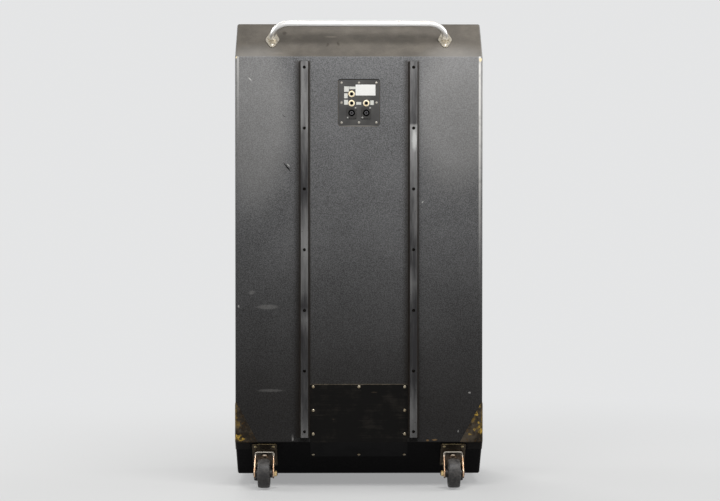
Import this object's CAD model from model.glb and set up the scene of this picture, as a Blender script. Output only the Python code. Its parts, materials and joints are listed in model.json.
# Tall speaker cabinet seen from behind: worn vinyl, rails, handle, input plate and casters
import json
import math

import bmesh
import bpy
import numpy as np
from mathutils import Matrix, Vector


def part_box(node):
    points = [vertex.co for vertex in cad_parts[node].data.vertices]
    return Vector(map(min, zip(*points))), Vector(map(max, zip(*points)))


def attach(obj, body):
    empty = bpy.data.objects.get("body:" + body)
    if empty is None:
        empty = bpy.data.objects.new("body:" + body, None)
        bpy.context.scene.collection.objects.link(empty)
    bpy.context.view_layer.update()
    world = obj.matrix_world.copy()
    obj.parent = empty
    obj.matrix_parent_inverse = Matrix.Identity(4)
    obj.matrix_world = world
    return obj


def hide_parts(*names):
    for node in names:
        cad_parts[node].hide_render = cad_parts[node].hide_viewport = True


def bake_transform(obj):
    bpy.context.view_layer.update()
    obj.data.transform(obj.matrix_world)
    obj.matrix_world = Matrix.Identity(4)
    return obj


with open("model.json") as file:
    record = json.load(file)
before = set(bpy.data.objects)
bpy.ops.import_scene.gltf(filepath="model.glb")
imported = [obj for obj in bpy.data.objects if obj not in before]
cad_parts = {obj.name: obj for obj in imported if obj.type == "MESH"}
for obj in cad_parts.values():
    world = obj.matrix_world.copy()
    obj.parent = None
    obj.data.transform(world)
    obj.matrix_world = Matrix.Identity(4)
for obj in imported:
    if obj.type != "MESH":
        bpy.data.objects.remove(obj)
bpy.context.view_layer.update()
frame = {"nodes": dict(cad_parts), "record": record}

nodes = frame["nodes"]
slots = {part["node"]: part["material_slot"] for part in frame["record"]["subparts"]}
scene = bpy.context.scene
dice = np.random.default_rng(11)
mm = 0.001
root = math.sqrt(0.5)
near = {"made": 2e-6, "packed": 5e-6, "sliver": 1e-6, "plane": 1e-5}  # distances taken for none, in metres


def corners(node):
    return [np.array(corner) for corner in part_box(node)]


(_, frontY, bottomZ), (halfX, backY, topZ) = corners("vinyl_covering")
midZ, halfTall = (topZ + bottomZ) / 2, (topZ - bottomZ) / 2
plateLow, plateHigh = corners("input_plate")
plateZ, plateTall = (plateHigh[2] + plateLow[2]) / 2, (plateHigh[2] - plateLow[2]) / 2
cabinet = {
    "bevel": 98 * mm,    # rise and run of both bevels on the back
    "edge": 6 * mm,      # radius of the covered edges
    "shell": 18.8 * mm,  # plywood with its vinyl
}
heelY = backY - cabinet["bevel"] / 2
# flat places to work on: a point of the surface, the way along it and the way out of it; x runs across each
flats = {
    "back": np.array([[0, backY, 0], [0, 0, 1], [0, 1, 0]]),
    "upperBevel": np.array([[0, heelY, topZ - cabinet["bevel"] / 2], [0, root, -root], [0, root, root]]),
    "lowerBevel": np.array([[0, heelY, bottomZ + cabinet["bevel"] / 2], [0, -root, -root], [0, root, -root]]),
}


# mesh work

def gridFaces(rows, cols, loop=False):
    # quads between neighbouring rows and columns; a loop also joins the last column to the first
    down, over = np.meshgrid(np.arange(rows - 1), np.arange(cols if loop else cols - 1), indexing="ij")
    right = (over + 1) % cols
    quads = [down * cols + over, down * cols + right, (down + 1) * cols + right, (down + 1) * cols + over]
    return np.stack(quads, -1).reshape(-1, 4).tolist()


def ringForm(rings, capped=True):
    # rings of points, one after the other, skinned as a tube; capped closes the first and the last ring
    count, size = rings.shape[:2]
    faces = gridFaces(count, size, loop=True)
    if capped:
        faces += [list(range(size))[::-1], list(range((count - 1) * size, count * size))]
    return rings.reshape(-1, 3), faces


def onFlat(points, flat):
    # local (across, along, out) points put on one of the cabinet's flats
    origin, along, out = flats[flat]
    return origin + points * [1, 0, 0] + points[..., 1:2] * along + points[..., 2:3] * out


def circle(turn):
    return np.stack([np.cos(turn), np.sin(turn)], -1)


def roundRect(halfW, halfH, radius, steps=6):
    # closed loop: a quarter circle about each of the four corner centres
    turn = np.radians(np.linspace(0, 90, steps)[None] + np.array([0, 90, 180, 270])[:, None])
    centre = np.array([[1, 1], [-1, 1], [-1, -1], [1, -1]]) * [halfW - radius, halfH - radius]
    return (centre[:, None] + radius * circle(turn)).reshape(-1, 2)


def turned(profile, sides):
    # (radius, height) profile carried round an axis: x = r cos, y = r sin, z = height
    turn = np.linspace(0, 2 * np.pi, sides, endpoint=False)
    radius, height = profile[:, 0:1], profile[:, 1:2]
    return np.stack([radius * np.cos(turn), radius * np.sin(turn), height + 0 * turn], -1)


def meshPoints(mesh):
    points = np.empty(len(mesh.vertices) * 3)
    mesh.vertices.foreach_get("co", points)
    return points.reshape(-1, 3)


def smoothed(mesh, shape, sharp):
    shape.to_mesh(mesh)
    shape.free()
    mesh.shade_smooth()
    mesh.set_sharp_from_angle(angle=math.radians(sharp))
    return mesh


def mergedShape(mesh, reach):
    shape = bmesh.new()
    shape.from_mesh(mesh)
    bmesh.ops.remove_doubles(shape, verts=shape.verts, dist=reach)
    bmesh.ops.dissolve_degenerate(shape, edges=shape.edges, dist=near["sliver"])
    return shape


def cleanMesh(name, parts, sharp, openings=()):
    # joins (points, faces) parts, merges doubles, fills flat gaps between open rims and turns faces outwards
    mesh = bpy.data.meshes.new(name)
    starts = np.cumsum([0] + [len(points) for points, faces in parts])
    faces = [[int(start + k) for k in face] for start, part in zip(starts, parts) for face in part[1]]
    mesh.from_pydata(np.concatenate([points for points, _ in parts]).tolist(), [], faces)
    shape = mergedShape(mesh, near["made"])
    for depth, facing in openings:
        rims = [edge for edge in shape.edges if edge.is_boundary
                and all(abs(point.co.y - depth) < near["plane"] for point in edge.verts)]
        bmesh.ops.triangle_fill(shape, use_beauty=True, edges=rims, normal=(0, facing, 0))
    bmesh.ops.recalc_face_normals(shape, faces=shape.faces)
    return smoothed(mesh, shape, sharp)


def addPiece(name, mesh, node, body="cabinet", slot=None):
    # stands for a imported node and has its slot, unless one is given; the look goes by name, or else by slot
    piece = bpy.data.objects.new(name, mesh)
    scene.collection.objects.link(piece)
    slot = slot or slots[node]
    mesh.materials.append(looks.get(name) or looks[slot])
    if body:  # a piece that bends between two bodies rides on neither
        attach(piece, body)
    if node:
        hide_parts(node)
    return piece


def makePiece(name, parts, node=None, body="cabinet", slot=None, sharp=35, openings=()):
    return addPiece(name, cleanMesh(name, parts, sharp, openings), node, body, slot)


def thicken(piece, thickness):
    wall = piece.modifiers.new("wall", "SOLIDIFY")
    wall.thickness = thickness
    wall.offset = -1


def evenShade(piece):
    piece.modifiers.new("evenShade", "WEIGHTED_NORMAL").keep_sharp = True


softEdge = {"segments": 2, "from": 30, "sharp": 38, "flat": 1}  # angles in degrees


def softenedCopy(name, node, width):
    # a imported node's own triangles, merged back to flat faces, with softened edges
    source = nodes[node].data
    faces = np.empty(len(source.polygons) * 3, int)
    source.loops.foreach_get("vertex_index", faces)
    mesh = bpy.data.meshes.new(name)
    mesh.from_pydata(meshPoints(source).tolist(), [], faces.reshape(-1, 3).tolist())
    shape = mergedShape(mesh, near["packed"])
    bmesh.ops.dissolve_limit(shape, angle_limit=math.radians(softEdge["flat"]), verts=shape.verts,
                            edges=shape.edges)
    piece = addPiece(name, smoothed(mesh, shape, softEdge["sharp"]), node)
    edge = piece.modifiers.new("softEdge", "BEVEL")
    edge.width = width
    edge.segments = softEdge["segments"]
    edge.limit_method = "ANGLE"
    edge.angle_limit = math.radians(softEdge["from"])
    evenShade(piece)


# material work: a colour of three numbers is as a screen shows it

def screen(colour):
    # the same colour as linear light; a socket, or linear light already, is left as it is
    if not isinstance(colour, tuple) or len(colour) != 3:
        return colour
    value = np.array(colour) / 255
    return (*np.where(value <= 0.04045, value / 12.92, ((value + 0.055) / 1.055) ** 2.4), 1.0)


class Finish:
    # one procedural material, with short calls for the nodes that repeat
    def __init__(self, name, **sockets):
        self.material = bpy.data.materials.new(name)
        self.material.use_nodes = True
        self.tree = self.material.node_tree
        self.shader = self.tree.nodes["Principled BSDF"]
        where = self.add("ShaderNodeTexCoord")
        self.place = where.outputs["Object"]
        self.facing = where.outputs["Normal"]
        for socket, value in sockets.items():
            self.shader.inputs[socket.replace("_", " ")].default_value = value

    def feed(self, socket, value):
        if isinstance(value, bpy.types.NodeSocket):
            self.tree.links.new(value, socket)
        else:
            socket.default_value = value

    def add(self, kind, inputs=None, **settings):
        node = self.tree.nodes.new(kind)
        for key, value in settings.items():
            setattr(node, key, value)
        for key, value in (inputs or {}).items():
            self.feed(node.inputs[key], value)
        return node

    def stretched(self, scale):
        return self.add("ShaderNodeMapping", {"Vector": self.place, "Scale": scale}).outputs[0]

    def noise(self, scale, detail=3.0, rough=0.55, place=None):
        inputs = {"Vector": place or self.place, "Scale": scale, "Detail": detail, "Roughness": rough}
        return self.add("ShaderNodeTexNoise", inputs).outputs[0]

    def cells(self, scale):
        inputs = {"Vector": self.place, "Scale": scale}
        return self.add("ShaderNodeTexVoronoi", inputs, feature="SMOOTH_F1").outputs[0]

    def spread(self, value, low, high, bottom=0.0, top=1.0):
        inputs = {"Value": value, "From Min": low, "From Max": high, "To Min": bottom, "To Max": top}
        return self.add("ShaderNodeMapRange", inputs, interpolation_type="SMOOTHSTEP").outputs[0]

    def calc(self, operation, first, second=0.0):
        return self.add("ShaderNodeMath", {0: first, 1: second}, operation=operation).outputs[0]

    def times(self, first, *others):
        for other in others:
            first = self.calc("MULTIPLY", first, other)
        return first

    def plus(self, first, second):
        return self.calc("ADD", first, second)

    def minus(self, first, second):
        return self.calc("SUBTRACT", first, second)

    def most(self, first, second):
        return self.calc("MAXIMUM", first, second)

    def at(self, axis):
        return self.add("ShaderNodeSeparateXYZ", {0: self.place}).outputs[axis]

    def faces(self, axis):
        return self.add("ShaderNodeSeparateXYZ", {0: self.facing}).outputs[axis]

    def mix(self, factor, first, second):
        inputs = {0: factor, 6: screen(first), 7: screen(second)}
        return self.add("ShaderNodeMix", inputs, data_type="RGBA").outputs[2]

    def vector(self, operation, inputs):
        return self.add("ShaderNodeVectorMath", inputs, operation=operation).outputs

    def shaken(self, scale, amount):
        # the place of a point, pushed about by noise, so that marks get ragged edges
        inputs = {"Vector": self.place, "Scale": scale, "Detail": 3.0}
        colour = self.add("ShaderNodeTexNoise", inputs).outputs[1]
        centred = self.vector("SUBTRACT", {0: colour, 1: (0.5, 0.5, 0.5)})[0]
        push = self.vector("SCALE", {0: centred, "Scale": amount})[0]
        return self.vector("ADD", {0: self.place, 1: push})[0]

    def stroke(self, centre, size, turn=0.0, place=None):
        # a soft mark: 1 in the middle of an ellipsoid of these half sizes, turned about y, and 0 outside it
        inputs = {"Vector": place or self.place, "Location": centre, "Rotation": (0, turn, 0), "Scale": size}
        local = self.add("ShaderNodeMapping", inputs, vector_type="TEXTURE").outputs[0]
        return self.spread(self.vector("LENGTH", {0: local})["Value"], 1.0, 0.45)

    def marks(self, rows, place, y=backY, deep=60 * mm):
        # strokes at depth y: x and z, half length and half width in millimetres, turn in degrees
        total = 0.0
        for x, z, long, wide, turn in rows:
            size = (long * mm, deep, wide * mm)
            total = self.most(total, self.stroke((x * mm, y, z * mm), size, math.radians(turn), place))
        return total

    def marked(self, colour, tint, strength, *where):
        return self.mix(self.times(self.marks(*where), strength), colour, tint)

    def shadeUnder(self, colour, tint, start=-0.3, strength=1.0):
        # a tint on what faces down
        return self.mix(self.spread(self.faces(2), start, -0.65, 0.0, strength), colour, tint)

    def ramp(self, value, stops):
        # a curve through (position, level) stops
        node = self.add("ShaderNodeValToRGB", {0: value})
        levels = node.color_ramp.elements
        while len(levels) < len(stops):
            levels.new(0.5)
        for element, (position, level) in zip(levels, stops):
            element.position = position
            element.color = (level, level, level, 1)
        return node.outputs[0]

    def relief(self, height, depth, strength=1.0):
        node = self.add("ShaderNodeBump", {"Height": height, "Distance": depth, "Strength": strength})
        old = self.shader.inputs["Normal"].links
        if old:
            self.feed(node.inputs["Normal"], old[0].from_socket)
        self.feed(self.shader.inputs["Normal"], node.outputs[0])

    def wear(self, colour, source=None, low=0.0, high=1.0, start=0.3):
        # the finished material; its roughness runs from low to high with the source
        self.feed(self.shader.inputs["Base Color"], colour)
        if source is not None:
            self.feed(self.shader.inputs["Roughness"], self.spread(source, start, 0.7, low, high))
        return self.material


def coated(name, base, other, rough, grain, depth):
    # paint, plastic, rubber or board: two tones in soft clouds, with an even fine grain
    look = Finish(name)
    clouds = look.noise(grain / 12, 4)
    fine = look.noise(grain, 3)
    look.relief(fine, depth * mm)
    tone = look.spread(look.plus(look.times(clouds, 0.6), look.times(fine, 0.4)), 0.36, 0.64)
    return look.wear(look.mix(tone, base, other), clouds, rough - 0.08, rough + 0.08)


def metal(name, base, tarnish, rough, stain):
    # bare metal: a fine grain, and rougher tarnish in patches
    look = Finish(name, Metallic=1.0)
    fine = look.noise(900, 3)
    patch = look.spread(look.noise(stain, 5, 0.65), 0.48, 0.7)
    look.relief(fine, 0.04 * mm)
    dull = look.plus(look.spread(fine, 0.3, 0.7, rough - 0.06, rough + 0.06), look.times(patch, 0.18))
    look.feed(look.shader.inputs["Roughness"], dull)
    return look.wear(look.mix(patch, base, tarnish))


def woven(name, base, thread, pitch, rough=0.85):
    # two crossed waves of the thread's pitch, with flecks of the paler thread
    look = Finish(name)
    step = 2 * math.pi / (pitch * mm)
    weave = look.times(*(look.calc("SINE", look.times(look.at(axis), step)) for axis in (0, 2)))
    fleck = look.noise(0.9 / (pitch * mm), 2)
    look.relief(weave, 0.25 * mm)
    tone = look.plus(look.spread(weave, -0.2, 0.9, 0.0, 0.55), look.spread(fleck, 0.5, 0.72, 0.0, 0.6))
    return look.wear(look.mix(tone, base, thread), fleck, rough - 0.1, rough)


def fibrous(name, base, other, scale, stretch, depth, rough):
    # wood, paper or wadding: long noise along one direction over broad clouds
    look = Finish(name)
    strand = look.noise(scale, 4, 0.6, look.stretched(stretch))
    clouds = look.noise(scale / 20, 3)
    look.relief(strand, depth * mm)
    tone = look.plus(look.spread(strand, 0.35, 0.65, 0.0, 0.7), look.spread(clouds, 0.35, 0.65, 0.0, 0.3))
    return look.wear(look.mix(tone, base, other), strand, rough, rough + 0.12)


# camera, floor and light

view = {"lens": 83.44, "sensor": 36, "spot": (0.037, backY + 4.45, 0.703), "target": (-0.0028, backY, 0.6357)}


def aimed(name, data, spot, target):
    # a lamp or camera at a spot, turned so that it looks at its target
    thing = bpy.data.objects.new(name, data)
    thing.location = spot
    way = thing.location.copy()
    way.xyz = np.array(target) - np.array(spot)
    thing.rotation_euler = way.to_track_quat("-Z", "Y").to_euler()
    scene.collection.objects.link(thing)
    return thing


cameraData = bpy.data.cameras.new("photoCamera")
cameraData.lens = view["lens"]
cameraData.sensor_width = view["sensor"]
scene.camera = aimed("photoCamera", cameraData, view["spot"], view["target"])
scene.view_settings.view_transform = "Standard"

stage = {"floorReach": 30.0, "floorTone": (0.72, 0.72, 0.71, 1), "floorBounce": (0.22, 0.22, 0.22, 1),
         "skyTone": (0.78, 0.785, 0.79, 1), "skyLight": 0.06, "fadeFrom": 0.2, "fadeTo": 2.4, "glowNear": 0.4}


def directRays(tree):
    # 1 for rays that come straight from the camera or by way of a mirror or glass
    path = tree.nodes.new("ShaderNodeLightPath")
    total = path.outputs["Is Camera Ray"]
    for ray in ("Is Glossy Ray", "Is Transmission Ray"):
        larger = tree.nodes.new("ShaderNodeMath")
        larger.operation = "MAXIMUM"
        tree.links.new(total, larger.inputs[0])
        tree.links.new(path.outputs[ray], larger.inputs[1])
        total = larger.outputs[0]
    return total


def makeFloor():
    # a flat square, which fades to the sky's tone far away
    mesh = bpy.data.meshes.new("floor")
    square = stage["floorReach"] * np.array([[-1, -1, 0], [1, -1, 0], [1, 1, 0], [-1, 1, 0]])
    mesh.from_pydata(square.tolist(), [], [(0, 1, 2, 3)])
    floor = bpy.data.objects.new("floor", mesh)
    scene.collection.objects.link(floor)
    look = Finish("floorPaint", Roughness=0.9, Specular_IOR_Level=0.1)
    seen = directRays(look.tree)
    look.wear(look.mix(seen, stage["floorBounce"], stage["floorTone"]))
    away = look.vector("LENGTH", {0: look.place})["Value"]
    glow = look.add("ShaderNodeEmission", {"Color": stage["skyTone"], "Strength": 1.0})
    far = look.times(look.spread(away, stage["fadeFrom"], stage["fadeTo"], stage["glowNear"]), seen)
    blend = look.add("ShaderNodeMixShader", {0: far, 1: look.shader.outputs[0], 2: glow.outputs[0]})
    look.feed(look.tree.nodes["Material Output"].inputs["Surface"], blend.outputs[0])
    mesh.materials.append(look.material)


def makeSky():
    world = bpy.data.worlds.new("studio")
    world.use_nodes = True
    scene.world = world
    tree = world.node_tree
    glow = tree.nodes["Background"]
    glow.inputs["Color"].default_value = stage["skyTone"]
    level = tree.nodes.new("ShaderNodeMapRange")
    level.inputs["To Min"].default_value = stage["skyLight"]
    level.inputs["To Max"].default_value = 1.0
    tree.links.new(directRays(tree), level.inputs["Value"])
    tree.links.new(level.outputs[0], glow.inputs["Strength"])


lamps = {  # place, what it points at, width, height, watts
    "backSoft": ((-0.22, 0.98, 1.95), (-0.1, 0.18, 1.5), 1.5, 0.9, 29),
    "leftSide": ((2.6, -0.2, 1.5), (0.3, -0.05, 0.7), 1.4, 1.4, 30),
    "rightSide": ((-2.6, -0.2, 1.5), (-0.3, -0.05, 0.7), 1.4, 1.4, 30),
    "frontSoft": ((0.6, -2.8, 2.2), (0.0, -0.2, 0.65), 1.8, 1.8, 60),
}


def makeLamps():
    for name, (spot, target, width, height, watts) in lamps.items():
        data = bpy.data.lights.new(name, "AREA")
        data.shape = "RECTANGLE"
        data.size = width
        data.size_y = height
        data.energy = watts
        aimed(name, data, spot, target).visible_camera = False


makeFloor()
makeSky()
makeLamps()
print("stage: camera, floor, sky and", len(lamps), "lamps")

# finishes of the covering and of what the photograph shows most

vinyl = {
    "dark": (64, 64, 64), "pale": (138, 138, 139), "under": (10, 9, 10), "dust": (82, 77, 70),
    "worn": (228, 226, 222), "scuff": (210, 208, 204), "nick": (26, 24, 24), "stain": (50, 44, 38),
    "rust": (160, 130, 92), "bare": (240, 222, 180), "paleDust": (118, 111, 101), "darkDust": (54, 47, 38),
    "grime": (40, 36, 33), "grimeSpan": (0.78, 0.15), "grain": 620, "speck": 400, "rough": 0.56,
    "bandRight": 4 * mm, "bandLeft": 18 * mm, "bandEnd": 6 * mm,  # reach of the dark bands beside the rails
    "lineOuter": (4 * mm, 6.5 * mm), "lineInner": (12 * mm, 9 * mm),  # the white line, in from the side
    "lineSpan": (0.68, 1.24),
    # marks, as centre x and z, half length and half width in millimetres and turn in degrees
    "scuffs": [(290, 1091.5, 8, 2, -45), (-169.5, 765, 3.6, 2, 55), (-295.5, 255.5, 4, 3, 0),
               (176.5, 132, 3, 6, 0), (-265.7, 152.6, 2.6, 4, 0), (188, 863, 6, 1.3, -52),
               (321, 487, 2.5, 5, 0)],
    "smears": [(236, 262, 43, 5, 0), (177.6, 136, 4, 12, 0), (286, 524, 10, 7, 20), (243, 485, 36, 8, 0),
               (-262, 1010, 150, 280, 0), (280, 990, 130, 310, 0)],
    "chips": [(-324, 1143.5, 5, 7, 0), (326, 1149.5, 3, 3, 0)],
    "nicks": [(199, 994, 9, 1, -40), (191.5, 858, 19, 2.4, -52)],
    "rustSpots": [(-183, 128, 5, 3, 0), (-202, 129.5, 9, 3, 0)],
    "palePatches": [(216, 1161.5, 30, 6, 0), (75, 1211.5, 22, 4, 0)],
    "darkPatches": [(84, 1187, 4, 9, -20), (55.5, 1190, 4, 9, 20), (201, 1222, 8, 7, 0)],
}


def vinylFinish():
    # pebbled black vinyl: fine flecks, grime lower down, brown dust where it faces up, dark bands beside the
    # rails, pale side edges and a few knocks
    look = Finish("wornVinyl", Specular_IOR_Level=0.05)
    pebble = look.cells(vinyl["grain"])
    speck = look.noise(vinyl["speck"], 2, 0.6)
    clouds = look.noise(5.0, 5, 0.6)
    look.relief(pebble, 0.3 * mm, 0.7)
    look.relief(speck, 0.15 * mm, 0.5)
    tone = look.plus(look.spread(speck, 0.3, 0.72, 0.16, 0.74), look.spread(clouds, 0.3, 0.7, -0.06, 0.1))
    colour = look.mix(tone, vinyl["dark"], vinyl["pale"])
    x, height = look.at(0), look.at(2)
    colour = look.mix(look.spread(height, *vinyl["grimeSpan"], 0.0, 0.7), colour, vinyl["grime"])
    bands = []
    for node in ("skid_rail_left", "skid_rail_right"):
        low, high = corners(node)
        bands.append(look.times(look.spread(x, low[0] - vinyl["bandRight"], low[0]),
                                look.spread(x, high[0] + vinyl["bandLeft"], high[0])))
    beside = look.times(look.most(*bands), look.spread(height, low[2] - vinyl["bandEnd"], low[2]),
                        look.spread(height, high[2] + vinyl["bandEnd"], high[2]), 0.55)
    colour = look.shadeUnder(look.mix(beside, colour, vinyl["stain"]), vinyl["under"])
    # a faint bloom on every edge, and a white line down both sides of the back, which fade lower down
    edge = look.add("ShaderNodeAttribute", attribute_name="edgeWear").outputs["Fac"]
    patchy = look.noise(45, 5, 0.7)
    bloom = look.spread(look.plus(edge, look.times(patchy, 0.6)), 0.6, 1.0, 0.0, 0.3)
    inset = look.minus(halfX, look.calc("ABSOLUTE", x))
    line = look.times(look.spread(inset, *vinyl["lineOuter"]), look.spread(inset, *vinyl["lineInner"]),
                      look.spread(look.faces(1), 0.8, 0.95), look.spread(patchy, 0.3, 0.5, 0.6, 1.0))
    reach = look.minus(height, look.times(x, 0.6))
    rubbed = look.times(look.most(bloom, line), look.spread(reach, *vinyl["lineSpan"]))
    colour = look.mix(rubbed, colour, vinyl["worn"])
    ragged = look.shaken(160, 5 * mm)
    dusty = look.spread(look.noise(18, 6, 0.65), 0.35, 0.68, 0.05, 0.42)
    dusty = look.mix(dusty, vinyl["dust"], vinyl["paleDust"])
    dusty = look.marked(dusty, vinyl["paleDust"], 0.6, vinyl["palePatches"], ragged, heelY)
    dusty = look.marked(dusty, vinyl["darkDust"], 0.7, vinyl["darkPatches"], ragged, heelY)
    colour = look.mix(look.spread(look.faces(2), 0.3, 0.66, 0.0, 0.85), colour, dusty)
    for rows, tint, strength in (("smears", "scuff", 0.16), ("scuffs", "scuff", 0.8), ("nicks", "nick", 1.0),
                                 ("rustSpots", "rust", 1.0), ("chips", "bare", 1.0)):
        colour = look.marked(colour, vinyl[tint], strength, vinyl[rows], ragged)
    return look.wear(colour, speck, vinyl["rough"] - 0.08, vinyl["rough"] + 0.1)


rail = {
    "base": (56, 55, 56), "worn": (146, 145, 144), "side": (48, 43, 38), "pit": (30, 28, 27),
    "line": (176, 175, 172), "lineReach": np.array([6, 3.5]) * mm, "bare": (206, 206, 204),
    "shine": [(-147, 930, 9, 40, 0)],
    # worn stretches, as (height in millimetres, level)
    "skid_rail_left": [(139, 0.75), (190, 0.45), (236, 0.2), (404, 0.15), (452, 0.5), (488, 0.1), (525, 0.5),
                       (600, 0.6), (648, 0.8), (690, 0.6), (745, 0.45), (790, 0.1), (870, 0.2), (1000, 0.55),
                       (1090, 0.45), (1137, 0.5)],
    "skid_rail_right": [(139, 0.6), (200, 0.75), (245, 0.45), (290, 0.1), (400, 0.05), (476, 0.12),
                        (548, 0.5), (600, 0.15), (660, 0.15), (700, 0.35), (830, 0.45), (900, 0.7),
                        (940, 1.0), (967, 1.0), (973, 0.25), (1137, 0.4)],
}


def railFinish(node):
    # moulded rail: grey rubbed top in long streaks, dark brown sides
    low, high = corners(node)
    tall = high[2] - low[2]
    look = Finish(node + "Look", Specular_IOR_Level=0.2)
    height = look.calc("DIVIDE", look.minus(look.at(2), low[2]), tall)
    level = look.ramp(height, [((z * mm - low[2]) / tall, amount) for z, amount in rail[node]])
    streak = look.noise(70, 5, 0.65, look.stretched((1, 1, 0.12)))
    worn = look.spread(look.plus(level, look.times(look.minus(streak, 0.5), 1.1)), 0.0, 0.95)
    colour = look.mix(worn, rail["base"], rail["worn"])
    colour = look.mix(look.spread(look.noise(130, 4, 0.7), 0.62, 0.74), colour, rail["pit"])
    line = look.times(look.spread(look.at(0), *(low[0] + rail["lineReach"])),
                      look.spread(height, 0.45, 0.8, 0.0, 0.6))
    colour = look.mix(line, colour, rail["line"])
    colour = look.marked(colour, rail["bare"], 0.8, rail["shine"], look.shaken(160, 5 * mm))
    look.relief(streak, 0.5 * mm, 0.7)
    look.relief(look.noise(600, 3), 0.08 * mm)
    top = look.spread(look.faces(1), 0.8, 0.97)
    return look.wear(look.mix(top, rail["side"], colour), streak, 0.42, 0.62)


kick = {"base": (25, 24, 23), "pale": (48, 45, 42), "edge": (134, 124, 108), "knock": (84, 74, 64),
        "rim": (320 * mm, 8 * mm, 2.2 * mm), "knocks": [(-40.8, 257, 11, 2.4, 0), (68.5, 185, 3, 3, 0)],
        "knockDeep": 9 * mm}
kickHigh = corners("kick_plate")[1]


def kickFinish():
    # painted steel: scuffs in short arcs, a rubbed upper edge
    look = Finish("scuffedBlack", Specular_IOR_Level=0.08)
    clouds = look.noise(16, 6, 0.65)
    scratch = look.noise(60, 4, 0.6, look.stretched((0.2, 1, 3)))
    ragged = look.shaken(220, 2 * mm)
    scuffed = look.spread(look.plus(clouds, look.times(scratch, 0.5)), 0.72, 1.0)
    colour = look.mix(scuffed, kick["base"], kick["pale"])
    rim = look.times(look.stroke((0, backY, kickHigh[2]), kick["rim"], place=ragged),
                     look.spread(look.noise(40, 4), 0.35, 0.6, 0.5, 1.0))
    colour = look.mix(rim, colour, kick["edge"])
    colour = look.marked(colour, kick["knock"], 0.5, kick["knocks"], ragged, backY, kick["knockDeep"])
    look.relief(scratch, 0.06 * mm)
    return look.wear(look.shadeUnder(colour, vinyl["under"]), clouds, 0.38, 0.56)


guard = {"paint": (62, 56, 49), "dust": (124, 113, 98), "rust": (112, 82, 44), "brass": (200, 164, 76),
         # gold patches, as rows of marks, on both sides
         "patches": [(324, 138, 14, 8, 20), (318, 131, 20, 4, 0), (-322, 176, 5, 5, 0),
                     (-324, 158, 9, 14, 10), (-310, 158, 9, 4, -10), (-296, 145, 7, 4, 10),
                     (-322, 222, 5, 8, 0), (-313, 200, 6, 9, -30)],
         # duller gold along the outer edges
         "tints": [(329, 196, 5, 44, 0), (-329, 180, 4, 52, 0), (322, 170, 8, 10, 0),
                   (-306, 184, 5, 12, -25)]}


def guardFinish():
    # painted steel gone dusty, with a few patches worn through to gold-coloured metal and rust round them
    look = Finish("wornGuard", Specular_IOR_Level=0.06)
    clouds = look.noise(30, 6, 0.7)
    spots = look.noise(150, 5, 0.75)
    ragged = look.shaken(130, 16 * mm)
    bare = look.times(look.marks(guard["patches"], ragged), look.spread(spots, 0.4, 0.56, 0.1, 1.0))
    tinted = look.times(look.marks(guard["tints"], ragged), look.spread(spots, 0.36, 0.6, 0.05, 0.42))
    bare = look.most(bare, tinted)
    colour = look.mix(look.spread(clouds, 0.4, 0.66, 0.0, 0.8), guard["paint"], guard["dust"])
    colour = look.mix(look.spread(spots, 0.54, 0.68, 0.0, 0.8), colour, guard["rust"])
    colour = look.shadeUnder(look.mix(bare, colour, guard["brass"]), vinyl["under"], strength=0.95)
    look.relief(spots, 0.15 * mm)
    look.feed(look.shader.inputs["Metallic"], look.times(bare, 0.6))
    return look.wear(colour, clouds, 0.52, 0.4)


plate = {"dark": (56, 55, 54), "pale": (70, 69, 67), "edge": (150, 147, 140), "core": (86, 85, 87),
         "hole": (8, 8, 9), "rim": (60 * mm, 6 * mm, 3 * mm), "socketX": 19.5 * mm, "socketZ": -27 * mm,
         "ring": 8.8 * mm, "coreEdge": 5.6 * mm, "dot": 2.6 * mm, "soft": 0.3 * mm}


def plateFinish():
    # satin black plate with a fine even grain, rubbed paler along its lower edge
    look = Finish("satinPlate", Specular_IOR_Level=0.35)
    clouds = look.noise(30, 5, 0.6)
    rim = look.stroke((0, plateHigh[1], plateLow[2]), plate["rim"])
    colour = look.mix(look.spread(clouds, 0.3, 0.7), plate["dark"], plate["pale"])
    look.relief(look.noise(1400, 2), 0.05 * mm)
    return look.wear(look.mix(look.times(rim, 0.5), colour, plate["edge"]), clouds, 0.4, 0.52)


def socketFinish():
    # twist-lock sockets: a flange as grey as the plate, a black ring, and a dark core with a hole
    look = Finish("socketPlastic", Specular_IOR_Level=0.12)
    across = look.minus(look.calc("ABSOLUTE", look.at(0)), plate["socketX"])
    up = look.minus(look.at(2), plateZ + plate["socketZ"])
    away = look.calc("SQRT", look.plus(look.times(across, across), look.times(up, up)))
    fine = look.noise(1400, 2)
    colour = look.mix(look.spread(fine, 0.3, 0.7), plate["dark"], plate["pale"])
    for radius, tone in (("ring", "hole"), ("coreEdge", "core"), ("dot", "hole")):
        inside = look.spread(away, plate[radius] + plate["soft"], plate[radius] - plate["soft"])
        colour = look.mix(inside, colour, plate[tone])
    look.relief(fine, 0.04 * mm)
    return look.wear(colour, fine, 0.4, 0.5)


chrome = {"bright": (0.8, 0.79, 0.77, 1), "warm": (0.82, 0.76, 0.66, 1), "pit": (120, 104, 82)}


def chromeFinish():
    # bright tube, warmer along its top, with faint smudges and a few pits
    look = Finish("handleChrome", Metallic=0.75)
    pit = look.spread(look.noise(420, 4, 0.7), 0.7, 0.8, 0.0, 0.5)
    colour = look.mix(look.spread(look.faces(2), 0.55, 0.95), chrome["bright"], chrome["warm"])
    return look.wear(look.mix(pit, colour, chrome["pit"]), look.noise(22, 5, 0.6), 0.26, 0.36)


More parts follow.
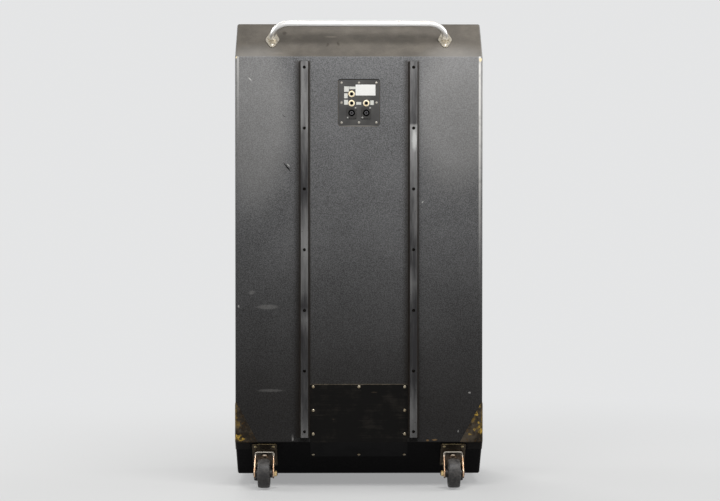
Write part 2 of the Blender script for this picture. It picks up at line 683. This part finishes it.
zinc = {"strip": [(236, 204, 174), (216, 170, 130), (150, 108, 74)],  # clean, dull and rusty tones
        "screw": [(182, 172, 152), (146, 128, 98), (100, 82, 56)],
        "base": [(150, 136, 104), (110, 94, 66), (72, 54, 34)], "grime": (46, 36, 26),
        "crown": (255, 246, 232), "crownSpan": (80 * mm, 90 * mm), "flank": (150, 138, 116)}


def zincFinish(name):
    # plated steel gone warm and patchy
    clean, dull, rusty = zinc[name]
    look = Finish(name + "Zinc", Metallic=0.75)
    patch = look.noise(70, 6, 0.7)
    look.relief(look.noise(700, 3), 0.05 * mm)
    colour = look.mix(look.spread(patch, 0.38, 0.64), clean, dull)
    colour = look.mix(look.spread(patch, 0.62, 0.76), colour, rusty)
    if name == "strip":  # the crown is rubbed bright, and the flat sides of the legs are dull
        colour = look.mix(look.spread(look.at(2), *zinc["crownSpan"]), colour, zinc["crown"])
        sideways = look.calc("ABSOLUTE", look.faces(0))
        colour = look.mix(look.spread(sideways, 0.8, 0.97), colour, zinc["flank"])
    return look.wear(look.shadeUnder(colour, zinc["grime"], -0.35, 0.9), patch, 0.24, 0.46, 0.35)


tyre = {"rubber": (54, 52, 52), "dust": (106, 103, 100)}


def tyreFinish():
    # grey-brown rubber with scuffed dust
    look = Finish("tyreRubber", Specular_IOR_Level=0.5)
    scuffed = look.noise(90, 6, 0.7)
    look.relief(scuffed, 0.12 * mm)
    look.relief(look.noise(800, 2), 0.08 * mm)
    colour = look.mix(look.spread(scuffed, 0.36, 0.74), tyre["rubber"], tyre["dust"])
    return look.wear(colour, scuffed, 0.42, 0.56)


looks = {  # by slot, or by piece where one differs from its slot
    "vinyl": vinylFinish(), "worn_steel": guardFinish(), "kick_steel": kickFinish(),
    "plate_steel": plateFinish(), "handle_chrome": chromeFinish(), "tyre_rubber": tyreFinish(),
    "zinc_steel": zincFinish("base"), "forkStrips": zincFinish("strip"), "kickScrews": zincFinish("screw"),
    "skidRailLeft": railFinish("skid_rail_left"), "skidRailRight": railFinish("skid_rail_right"),
    "twistLockSockets": socketFinish(),
}
plainLooks = {
    fibrous: {  # name, two tones, scale, stretch, depth in millimetres and roughness
        "plywood": ("plywood", (196, 160, 112), (160, 120, 76), 90, (1, 1, 0.06), 0.12, 0.6),
        "wadding": ("wadding", (226, 214, 178), (196, 178, 132), 160, (1, 0.4, 1), 1.2, 0.85),
        "cone_paper": ("conePaper", (66, 66, 68), (48, 48, 50), 320, (1, 1, 1), 0.2, 0.75),
        "label_paper": ("labelPaper", (234, 234, 231), (224, 223, 219), 500, (1, 1, 1), 0.03, 0.6),
        "plateBars": ("barPrint", (212, 212, 206), (198, 198, 190), 500, (1, 1, 1), 0.03, 0.6),
    },
    woven: {  # name, ground and thread, pitch in millimetres
        "grille_fabric": ("grilleCloth", (46, 46, 48), (150, 150, 148), 3.2),
        "black_fabric": ("blackFabric", (16, 16, 17), (44, 44, 46), 1.2),
        "spider_cloth": ("spiderCloth", (168, 116, 56), (206, 160, 96), 0.9),
    },
    coated: {  # name, two tones, roughness, scale and depth of the grain
        "basket_steel": ("basketPaint", (40, 41, 43), (56, 57, 60), 0.45, 700, 0.05),
        "ferrite": ("ferrite", (52, 50, 50), (66, 62, 60), 0.55, 500, 0.08),
        "gasket_board": ("gasketBoard", (34, 31, 28), (48, 44, 40), 0.8, 500, 0.15),
        "terminal_board": ("terminalBoard", (150, 104, 60), (128, 86, 48), 0.5, 600, 0.05),
        "cable_jacket": ("cableJacket", (132, 28, 26), (108, 22, 22), 0.45, 500, 0.05),
        "black_plastic": ("blackPlastic", (20, 20, 21), (34, 34, 35), 0.42, 900, 0.03),
        "hub_plastic": ("hubPlastic", (46, 43, 41), (66, 61, 58), 0.5, 500, 0.06),
        "foot_rubber": ("footRubber", (26, 25, 25), (40, 38, 37), 0.75, 500, 0.1),
    },
    metal: {  # name, clean and tarnished tone, roughness and scale of the tarnish
        "motor_steel": ("motorSteel", (168, 166, 160), (132, 124, 110), 0.4, 60),
        "dark_steel": ("darkSteel", (120, 116, 112), (58, 52, 46), 0.36, 260),
        "plateScrews": ("dullSteel", (160, 156, 148), (108, 98, 88), 0.5, 300),
        "socketScrews": ("greySteel", (150, 149, 146), (104, 100, 94), 0.5, 300),
        "railScrews": ("rustedSteel", (58, 54, 50), (34, 30, 27), 0.5, 260),
        "casterScrews": ("dimBrass", (168, 156, 124), (104, 88, 60), 0.45, 240),
        "handleFlanges": ("flangeSteel", (190, 183, 169), (130, 120, 102), 0.36, 150),
        "axleNuts": ("nutBrass", (226, 200, 148), (160, 128, 80), 0.4, 200),
        "casterAxles": ("axleSteel", (84, 78, 70), (52, 45, 38), 0.45, 200),
        "brass": ("paleBrass", (255, 242, 212), (222, 190, 130), 0.34, 160),
        "bright_steel": ("brightSteel", (222, 216, 204), (128, 112, 90), 0.3, 240),
    },
}
for maker, rows in plainLooks.items():
    looks.update({key: maker(*row) for key, row in rows.items()})
print("finishes:", len(looks))

# the vinyl skin: rounded outlines of the side view carried across the cabinet

skin = {"near": np.array([3, 12, 30]) * mm, "pocketReach": 75 * mm, "turnIn": 1.6 * mm, "lip": 1.2 * mm,
        "inset": 0.4 * mm, "pocketGap": 0.8 * mm, "wall": 0.7 * mm, "wearReach": 5 * mm,
        "mouth": (3 * mm, 30 * mm), "pocket": (7.8 * mm, 3.4 * mm),  # radius of the corners and depth
        "arcSteps": 4, "edgeSteps": 6}  # arcs have so many steps for each 45 degrees
cornerTurns = [(180, 270), (270, 315), (315, 360), (0, 45), (45, 90), (90, 180)]
backFlat = 2  # the corner that the flat back follows


def outline(margin):
    # corners of the side view as (y, z), drawn in by a margin, from the front bottom corner round the back
    slip = math.tan(math.radians(22.5)) * margin  # half of the 45 degrees of a bevel
    front, heel, rear = frontY + margin, backY - cabinet["bevel"] - slip, backY - margin
    low, high, rise = bottomZ + margin, topZ - margin, cabinet["bevel"] + slip
    return np.array([[front, low], [heel, low], [rear, bottomZ + rise], [rear, topZ - rise], [heel, high],
                     [front, high]])


def outlineLoop(margin, radius):
    # an arc about each corner of the outline, then set points along the flat that follows it
    centres = outline(margin)
    rows = []
    for k, (start, end) in enumerate(cornerTurns):
        turn = np.radians(np.linspace(start, end, (end - start) // 45 * skin["arcSteps"] + 1))
        arc = centres[k] + radius * circle(turn)
        following = math.radians(cornerTurns[(k + 1) % 6][0])
        far = centres[(k + 1) % 6] + radius * circle(following)
        length = np.linalg.norm(far - arc[-1])
        share = np.concatenate([skin["near"] / length, 1 - skin["near"][::-1] / length])
        if k == backFlat:
            pocket = (plateZ + skin["pocketReach"] * np.array([-1, 1]) - arc[-1][1]) / length
            share = np.sort(np.concatenate([share, pocket]))
        rows += [arc, arc[-1] + share[:, None] * (far - arc[-1])]
    return np.concatenate(rows)


def upright(loops, depths, middle):
    # (across, up) loops about a height, each at its own depth
    rings = zip(loops, depths)
    return np.array([np.column_stack([p[:, 0], np.full(len(p), y), middle + p[:, 1]]) for p, y in rings])


def lining(halfW, halfH, corner, depth, middle, y, inward):
    # a rounded rectangle carried round a small turn-in and straight back into an opening
    turn = np.radians(np.linspace(0, 90, skin["edgeSteps"]))
    outward = np.append(skin["lip"] - skin["turnIn"] * np.sin(turn), -skin["inset"])
    sunk = np.append(skin["turnIn"] * (1 - np.cos(turn)), depth)
    loops = [roundRect(halfW + o, halfH + o, corner + o) for o in outward]
    return ringForm(upright(loops, y + inward * sunk, middle), capped=False)


def edgeDistance(points):
    # how far each point lies from the edges along both sides: the larger of its distances to a side and to
    # the nearest other face
    x, y, z = points.T
    ends = np.stack([z - bottomZ, topZ - z])
    slopes = (backY - y + ends - cabinet["bevel"]) * root
    others = np.stack([y - frontY, backY - y, *ends, *slopes])
    return np.maximum(halfX - abs(x), others.min(axis=0))


def makeSkin():
    edge, shell, reach, gap = cabinet["edge"], cabinet["shell"], skin["pocketReach"], skin["pocketGap"]
    # outlines across the cabinet, as margin, radius of the corners and x
    tilt = np.radians(np.linspace(90, 0, skin["edgeSteps"]))
    sides = [(edge + d, 0.0, halfX) for d in skin["near"][::-1]]
    sides += [(edge, edge * math.cos(a), halfX - edge + edge * math.sin(a)) for a in tilt]
    sides += [(edge, edge, halfX - edge - d) for d in skin["near"]] + [(edge, edge, reach)]
    stations = sides + [(margin, radius, -x) for margin, radius, x in sides[::-1]]
    loops = [(outlineLoop(margin, radius), x) for margin, radius, x in stations]
    points, faces = ringForm(np.array([np.column_stack([np.full(len(loop), x), loop]) for loop, x in loops]))
    # no quads over the grille's mouth and the plate's pocket, which get linings
    quads = np.array(faces[:-2])
    x, y, z = points[quads].mean(axis=1).T
    rim = edge + skin["near"][0]
    mouth = (y < frontY + near["plane"]) & (abs(x) < halfX - rim) & (abs(z - midZ) < halfTall - rim)
    pocket = (y > backY - near["plane"]) & (abs(x) < reach) & (abs(z - plateZ) < reach)
    parts = [(points, quads[~(mouth | pocket)].tolist() + faces[-2:]),
             lining(halfX - shell, halfTall - shell, *skin["mouth"], midZ, frontY, 1),
             lining(plateHigh[0] + gap, plateTall + gap, *skin["pocket"], plateZ, backY, -1)]
    piece = makePiece("vinylSkin", parts, "vinyl_covering", sharp=50, openings=[(frontY, -1), (backY, 1)])
    away = np.maximum(edgeDistance(meshPoints(piece.data)), 0)
    wear = piece.data.attributes.new("edgeWear", "FLOAT", "POINT")
    wear.data.foreach_set("value", np.exp(-away / skin["wearReach"]))
    thicken(piece, skin["wall"])
    evenShade(piece)


makeSkin()
print("skin: vinyl over the carcass")

# grille cloth, drawn round its frame

cloth = {"insets": [0.25, 0.12, 0.05, 0.015], "round": 2.5 * mm, "over": 0.6 * mm, "return": 15 * mm,
         "corner": 5 * mm, "leastCorner": 0.5 * mm, "wall": 0.5 * mm, "steps": 7}


def makeGrilleCloth():
    # a rounded rectangle carried from the flat front round the frame's edge and straight back
    low, high = corners("grille_frame")
    halfW, halfH = high[0] + cloth["over"], (high[2] - low[2]) / 2 + cloth["over"]
    turn = np.radians(np.linspace(0, 90, cloth["steps"]))
    inset = np.concatenate([cloth["insets"], cloth["round"] * (1 - np.sin(turn)), [0.0]])
    depth = np.zeros(len(cloth["insets"]))
    depth = np.concatenate([depth, cloth["round"] * (1 - np.cos(turn)), [cloth["return"]]])
    loops = [roundRect(halfW - i, halfH - i, max(cloth["corner"] - i, cloth["leastCorner"])) for i in inset]
    points, faces = ringForm(upright(loops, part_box("grille_cloth")[0].y + depth, (high[2] + low[2]) / 2))
    piece = makePiece("grilleSheet", [(points, faces[:-1])], "grille_cloth", sharp=60)
    thicken(piece, cloth["wall"])


makeGrilleCloth()

# wadding pads behind the drivers

pad = {"low": [134, 364.65, 655.5, 946.35], "high": [329.65, 620.5, 911.35, 1142], "half": 301 * mm,
       "thick": 14 * mm, "window": (54 * mm, 61 * mm), "corner": 12 * mm, "lump": 1.2 * mm, "grid": 61,
       "cornerSteps": 16, "loops": 31, "flatness": 10, "fall": 0.4}


def padCrown(share):
    # near 1 over most of the pad, and round down to 0 at its edges
    return np.clip(1 - np.abs(share) ** pad["flatness"], 0, 1) ** pad["fall"]


def addPad(number, parts):
    piece = makePiece(f"waddingPad{number}", parts, "damping_pads", sharp=80)


def makePads():
    # each pad lies flat on the back panel and swells to its middle: crown of u times crown of v, and lumps
    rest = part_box("damping_pads")[1].y
    steps = np.linspace(-1, 1, pad["grid"])
    u, v = np.meshgrid(steps, steps, indexing="ij")
    lumps = pad["lump"] * (np.sin(9 * u + 2) * np.sin(7 * v + 1) + np.sin(17 * u) * np.sin(13 * v + 2)) / 2
    swell = (pad["thick"] - pad["lump"] + lumps) * padCrown(u) * padCrown(v)
    quads = gridFaces(pad["grid"], pad["grid"])
    for k in range(3):
        low, high = pad["low"][k], pad["high"][k]
        z = mm * ((low + high) / 2 + v * (high - low) / 2)
        sheets = [np.stack([pad["half"] * u, rest - lift, z], -1) for lift in (swell, 0 * swell)]
        addPad(k + 1, [(points.reshape(-1, 3), quads) for points in sheets])
    # the top pad is a ring: loops between the window round the input plate and the pad's own edge
    low, high = pad["low"][3] * mm, pad["high"][3] * mm
    inner = roundRect(*pad["window"], pad["corner"], pad["cornerSteps"]) + [0, plateZ]
    outer = roundRect(pad["half"], (high - low) / 2, pad["corner"], pad["cornerSteps"])
    outer = outer + [0, (low + high) / 2]
    share = np.linspace(-1, 1, pad["loops"])
    flat = inner + (share[:, None, None] + 1) / 2 * (outer - inner)
    swell = pad["thick"] * padCrown(share)[:, None] + 0 * flat[..., 0]
    sheets = [np.stack([flat[..., 0], rest - lift, flat[..., 1]], -1) for lift in (swell, 0 * swell)]
    addPad(4, [ringForm(rings, False) for rings in sheets])


makePads()
print("soft pieces: grille cloth and wadding")

# handle tube: a circle carried up one leg, round the bends and along the bar

handle = {"span": 464 * mm, "tube": 16 * mm, "rise": 55 * mm, "bend": 46 * mm, "foot": 0.4 * mm, "sides": 40,
          "bendSteps": 20}
legSteps, barSteps = 5, 6  # points along a leg and along half of a bar, with both ends


def bentPath(halfSpan, heights, rise, bend, steps):
    # leg through these heights, quarter turn, bar, quarter turn, leg, as (across, out) points
    turn = np.radians(np.linspace(180, 90, steps))
    side = [bend - halfSpan, rise - bend] + bend * circle(turn)
    leg = np.stack([np.full(len(heights), -halfSpan), heights], -1)
    across = np.linspace(bend - halfSpan, 0, barSteps)[1:-1]
    bar = np.stack([across, np.full(len(across), rise)], -1)
    left = np.concatenate([leg, side, bar])
    return np.concatenate([left, (left * [-1, 1])[::-1]])


def swept(path, thick, wide):
    # sections carried along a flat path, thick in its plane and wide out of it, as (across, along, out) rings
    way = np.gradient(path, axis=0)
    way /= np.linalg.norm(way, axis=1, keepdims=True)
    side = np.stack([-way[:, 1], way[:, 0]], -1)
    flat = path[:, None] + thick[..., None] * side[:, None]
    return np.stack([flat[..., 0], wide + 0 * flat[..., 0], flat[..., 1]], -1)


def makeHandle():
    heights = np.linspace(handle["foot"], handle["rise"] - handle["bend"], legSteps)[:-1]
    path = bentPath(handle["span"] / 2, heights, handle["rise"], handle["bend"], handle["bendSteps"])
    turn = np.linspace(0, 2 * np.pi, handle["sides"], endpoint=False)
    rings = swept(path, handle["tube"] / 2 * np.cos(turn), handle["tube"] / 2 * np.sin(turn))
    makePiece("handleTube", [ringForm(onFlat(rings, "upperBevel"))], "handle_bar", sharp=50)


makeHandle()

# caster forks: a rounded strip carried down one leg, over the crown and up the other

caster = {"x": 253 * mm, "v": -16.2965 * mm, "plate": 3 * mm, "forkW": 54 * mm, "wall": 4.5 * mm,
          "crown": 36 * mm, "eye": 13 * mm, "tipCut": 0.05 * mm, "tipReach": 1.6, "axle": 64.38 * mm,
          "bend": 5 * mm, "round": 2.2 * mm, "rivet": 9 * mm, "rivetH": 5.6 * mm, "rivetSunk": 0.5 * mm,
          "rivetCurve": 0.8, "wheel": 38 * mm, "tyreIn": 27 * mm, "tyreW": 32 * mm, "tyreEdge": 3.4,
          "tipSteps": 14, "bendSteps": 8, "cornerSteps": 4, "leastSquare": 1e-9,  # a tip keeps some width
          "rivetRings": 9, "rivetSides": 32, "tyreSides": 56, "tyreRings": 97}


def forkForm():
    # drawn from the tips, so that the path's rise runs from the tips down to the crown; closer near the tips
    foot = caster["axle"] + caster["eye"] - caster["tipCut"]
    rise = foot - caster["plate"] - caster["wall"] / 2
    tips = np.linspace(0, 1, caster["tipSteps"])[1:-1] ** 2 * caster["tipReach"] * caster["eye"]
    heights = np.sort(np.append(np.linspace(0, rise - caster["bend"], legSteps)[:-1], tips))
    halfSpan = (caster["forkW"] - caster["wall"]) / 2
    path = bentPath(halfSpan, heights, rise, caster["bend"], caster["bendSteps"])
    height = foot - path[:, 1]
    taper = np.interp(height, [caster["plate"], caster["axle"]], [caster["crown"] / 2, caster["eye"]])
    past = caster["eye"] ** 2 - (height - caster["axle"]) ** 2
    past = np.sqrt(np.maximum(past, caster["leastSquare"]))
    width = np.where(height > caster["axle"], past, taper)
    loops = np.array([roundRect(caster["wall"] / 2, w, min(caster["round"], w), caster["cornerSteps"])
                      for w in width])
    return ringForm(swept(path, loops[..., 0], loops[..., 1]) * [1, 1, -1] + [0, 0, foot])


def makeForks():
    turn = np.radians(np.linspace(0, 90, caster["rivetRings"]))
    dome = circle(turn) ** [1, caster["rivetCurve"]] * [caster["rivet"], caster["rivetH"]]
    dome = np.concatenate([[[caster["rivet"], -caster["rivetSunk"]]], dome])
    rivet = ringForm(turned(dome + [0, caster["plate"] + caster["wall"]], caster["rivetSides"]))
    forms = [forkForm(), rivet]
    parts = [(onFlat(points + [side * caster["x"], caster["v"], 0], "lowerBevel"), faces)
             for side in (-1, 1) for points, faces in forms]
    makePiece("forkStrips", parts, "caster_forks", sharp=40)


def makeTyres():
    # a superellipse section carried round the axle
    turn = np.linspace(0, 2 * np.pi, caster["tyreSides"], endpoint=False)
    wave = circle(turn).T
    over, up = np.sign(wave) * np.abs(wave) ** (2 / caster["tyreEdge"])
    radius = (caster["wheel"] + caster["tyreIn"]) / 2 + (caster["wheel"] - caster["tyreIn"]) / 2 * up
    around = np.linspace(0, 2 * np.pi, caster["tyreRings"])[:, None]
    section = np.stack([caster["tyreW"] / 2 * over + 0 * around, np.cos(around) * radius,
                        np.sin(around) * radius], -1)
    for name in ("left", "right"):
        hub = sum(corners("caster_tyre_" + name)) / 2
        makePiece("tyre" + name.capitalize(), [ringForm(hub + section, False)], "caster_tyre_" + name,
                  "wheel_" + name, sharp=50)


makeForks()
makeTyres()
print("handle, forks and tyres")

# surrounds of the cones

surround = {"count": 8, "lip": 5 * mm, "wall": 1 * mm, "steps": 9, "sides": 120}


def makeSurrounds():
    # half of a half-round roll with its flat lip, carried round each cone's axis: the outer half holds to the
    # cabinet, the inner half to its cone, and both follow half of the stroke at the crest, where they meet
    crest, seat = (corner[1] for corner in corners("woofer_surrounds"))
    rise, wall = seat - crest, surround["wall"]
    under = rise - wall
    edge = under + surround["lip"]
    inner = np.radians(np.linspace(90, 0, surround["steps"]))
    outer = np.linspace(math.asin(wall / rise), np.pi / 2, surround["steps"])
    section = np.concatenate([under * circle(inner), [[edge, 0], [edge, wall]], rise * circle(outer)])
    for k in range(1, surround["count"] + 1):
        low, high = corners(f"woofer_cone_{k}")
        middle = (low + high) / 2
        rollMid = (high[0] - low[0]) / 2 + under
        for name, way in (("Outer", 1), ("Inner", -1)):
            rings = turned(section * [way, 1] + [rollMid, 0], surround["sides"])
            rings = np.stack([middle[0] + rings[..., 0], seat - rings[..., 2], middle[2] + rings[..., 1]], -1)
            form = ringForm(np.concatenate([rings, rings[:1]]), False)
            piece = makePiece(f"surround{name}{k}", [form], "woofer_surrounds", body=None)
            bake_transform(piece)


makeSurrounds()
print("surrounds: outer and inner half of each")

# screws with a cross recess

screw = {"grid": 21, "dome": 0.6, "domePower": 3, "sunk": 0.55, "armHalf": 0.2, "armSoft": 0.1,
         "armReach": 0.62, "endSoft": 0.12, "tip": 0.125}


def screwArm(along, across):
    # 1 in one bar of the cross, 0 outside it
    inside = np.clip((screw["armHalf"] - abs(across)) / screw["armSoft"], 0, 1)
    return inside * np.clip((screw["armReach"] - abs(along)) / screw["endSoft"], 0, 1)


def screwForm(headD, headH, shank, length):
    # the head is a square grid pressed to a disc, domed and sunk in a cross; its rim runs down, in and along
    # the shank
    steps = np.linspace(-1, 1, screw["grid"])
    u, v = np.meshgrid(steps, steps, indexing="ij")
    x, y = u * np.sqrt(1 - v ** 2 / 2), v * np.sqrt(1 - u ** 2 / 2)
    rise = 1 - screw["dome"] * np.hypot(x, y) ** screw["domePower"]
    rise = rise - screw["sunk"] * np.maximum(screwArm(y, x), screwArm(x, y))
    top = np.stack([x * headD / 2, y * headD / 2, rise * headH], -1).reshape(-1, 3)
    index = np.arange(screw["grid"] ** 2).reshape(screw["grid"], -1)
    rim = np.concatenate([index[0, :-1], index[:-1, -1], index[-1, :0:-1], index[:0:-1, 0]])
    way = top[rim, :2] / np.linalg.norm(top[rim, :2], axis=1, keepdims=True)
    radius = np.array([headD / 2, shank / 2, shank / 2, shank * screw["tip"]])[:, None, None]
    drop = np.array([0, 0, -length, -length - shank])[:, None, None] + 0 * way[None, :, :1]
    tube, tubeFaces = ringForm(np.concatenate([top[rim][None], np.concatenate([radius * way, drop], -1)]))
    tubeFaces = tubeFaces[:-2] + tubeFaces[-1:]
    faces = gridFaces(screw["grid"], screw["grid"]) + [[k + len(top) for k in face] for face in tubeFaces]
    return np.concatenate([top, tube]), faces


def makeScrews(name, node, sizes, spots):
    # spots are (flat, across, along, lift); each screw is turned by its own angle
    form, faces = screwForm(*(size * mm for size in sizes))
    parts = []
    for flat, across, along, lift in spots:
        angle = dice.uniform(0, np.pi)
        spin = np.array([[np.cos(angle), -np.sin(angle), 0], [np.sin(angle), np.cos(angle), 0], [0, 0, 1]])
        parts.append((onFlat(form @ spin.T + [across, along, lift], flat), faces))
    makePiece(name, parts, node, sharp=45)


fixing = {"kickInset": 7.5 * mm, "kickRow": 63 * mm, "kickT": 1.5 * mm, "kickBevel": -15.796 * mm,
          "plateInset": 9 * mm, "plateFace": -2 * mm, "socketFace": -0.4 * mm,
          "socketPitch": (10.4 * mm, 12.9 * mm), "railEnd": 16 * mm, "railSeat": 11 * mm, "railCount": 7,
          "ear": 23 * mm, "flange": 3 * mm, "mountX": 24 * mm, "mountV": 37 * mm}
kickX, kickTop = kickHigh[0] - fixing["kickInset"], kickHigh[2] - fixing["kickInset"]
kickSpots = [("back", i * kickX, kickTop - j * fixing["kickRow"], fixing["kickT"])
             for i in (-1, 0, 1) for j in (0, 1, 2) if i or not j]
kickSpots += [("lowerBevel", i * kickX, fixing["kickBevel"], fixing["kickT"]) for i in (-1, 0, 1)]
plateX, plateUp = plateHigh[0] - fixing["plateInset"], plateTall - fixing["plateInset"]
plateSpots = [("back", i * plateX, plateZ + j * plateUp, fixing["plateFace"])
              for i in (-1, 0, 1) for j in (-1, 0, 1) if i or j]
pitchX, pitchZ = fixing["socketPitch"]
socketSpots = [("back", i * plate["socketX"] + j * pitchX, plateZ + plate["socketZ"] - j * pitchZ,
                fixing["socketFace"]) for i in (-1, 1) for j in (-1, 1)]
railLow, railHigh = corners("skid_rail_left")
railRow = np.linspace(railLow[2] + fixing["railEnd"], railHigh[2] - fixing["railEnd"], fixing["railCount"])
railX = (railLow[0] + railHigh[0]) / 2
railSpots = [("back", i * railX, z, fixing["railSeat"]) for i in (-1, 1) for z in railRow]
handleSpots = [("upperBevel", i * handle["span"] / 2, j * fixing["ear"], fixing["flange"])
               for i in (-1, 1) for j in (-1, 1)]
casterSpots = [("lowerBevel", i * caster["x"] + j * fixing["mountX"], caster["v"] + k * fixing["mountV"],
                caster["plate"]) for i in (-1, 1) for j in (-1, 1) for k in (-1, 1)]
screws = {  # piece: node, head's width and height, shank and length in millimetres, spots
    "kickScrews": ("kick_plate_screws", (8, 2.2, 4, 15.5), kickSpots),
    "plateScrews": ("input_plate_screws", (6.4, 1.5, 4, 12), plateSpots),
    "socketScrews": ("twist_lock_screws", (5, 1.3, 2.6, 3.6), socketSpots),
    "railScrews": ("rail_screws", (8, 2.2, 4, 25), railSpots),
    "handleScrews": ("handle_screws", (8, 2.2, 4, 17), handleSpots),
    "casterScrews": ("caster_screws", (8, 2.2, 4, 17), casterSpots),
}
for name, row in screws.items():
    makeScrews(name, *row)
print("screws:", sum(len(row[-1]) for row in screws.values()))

# plain printed bars on the input plate, with no words

bars = {"thick": 0.08 * mm, "sunk": 0.02 * mm, "corner": 1.2 * mm,
        # middle across and above the plate's middle, width and height, in millimetres
        "rows": [(33.1, 36.5, 12.8, 14.1), (17.5, 39.7, 16.8, 6.7), (34.7, 18.7, 9.1, 13.4),
                 (34.3, 1.4, 10.4, 12.8), (0.5, -1.4, 13.3, 7.2), (-34.8, 0.4, 9.3, 12)]}


def makeBars():
    parts = []
    for x, z, width, height in bars["rows"]:
        loop = roundRect(width / 2 * mm, height / 2 * mm, bars["corner"]) + [x * mm, plateZ + z * mm]
        low = np.column_stack([loop, np.full(len(loop), fixing["plateFace"] - bars["sunk"])])
        parts.append(ringForm(onFlat(np.array([low, low + [0, 0, bars["thick"]]]), "back")))
    makePiece("plateBars", parts, slot="label_paper", sharp=30)


makeBars()

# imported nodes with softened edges, then the finishes of the rest

softened = {  # node: width of the softened edge in millimetres
    "kick_plate": 0.5, "input_plate": 0.5, "handle_flanges": 0.6, "caster_plates": 0.7,
    "twist_lock_sockets": 0.4, "jack_nuts": 0.6, "axle_nuts": 0.7, "caster_axles": 0.7, "rubber_feet": 1.5,
    "corner_protectors": 0.35, "skid_rail_left": 1.2, "skid_rail_right": 1.2,
}
for node, width in softened.items():
    words = node.split("_")
    softenedCopy(words[0] + "".join(word.capitalize() for word in words[1:]), node, width * mm)

shown = [node for node in nodes if not nodes[node].hide_render]
for node in shown:
    nodes[node].data.materials.clear()
    nodes[node].data.materials.append(looks[slots[node]])
print("packed nodes:", len(softened), "softened,", len(shown), "refinished")
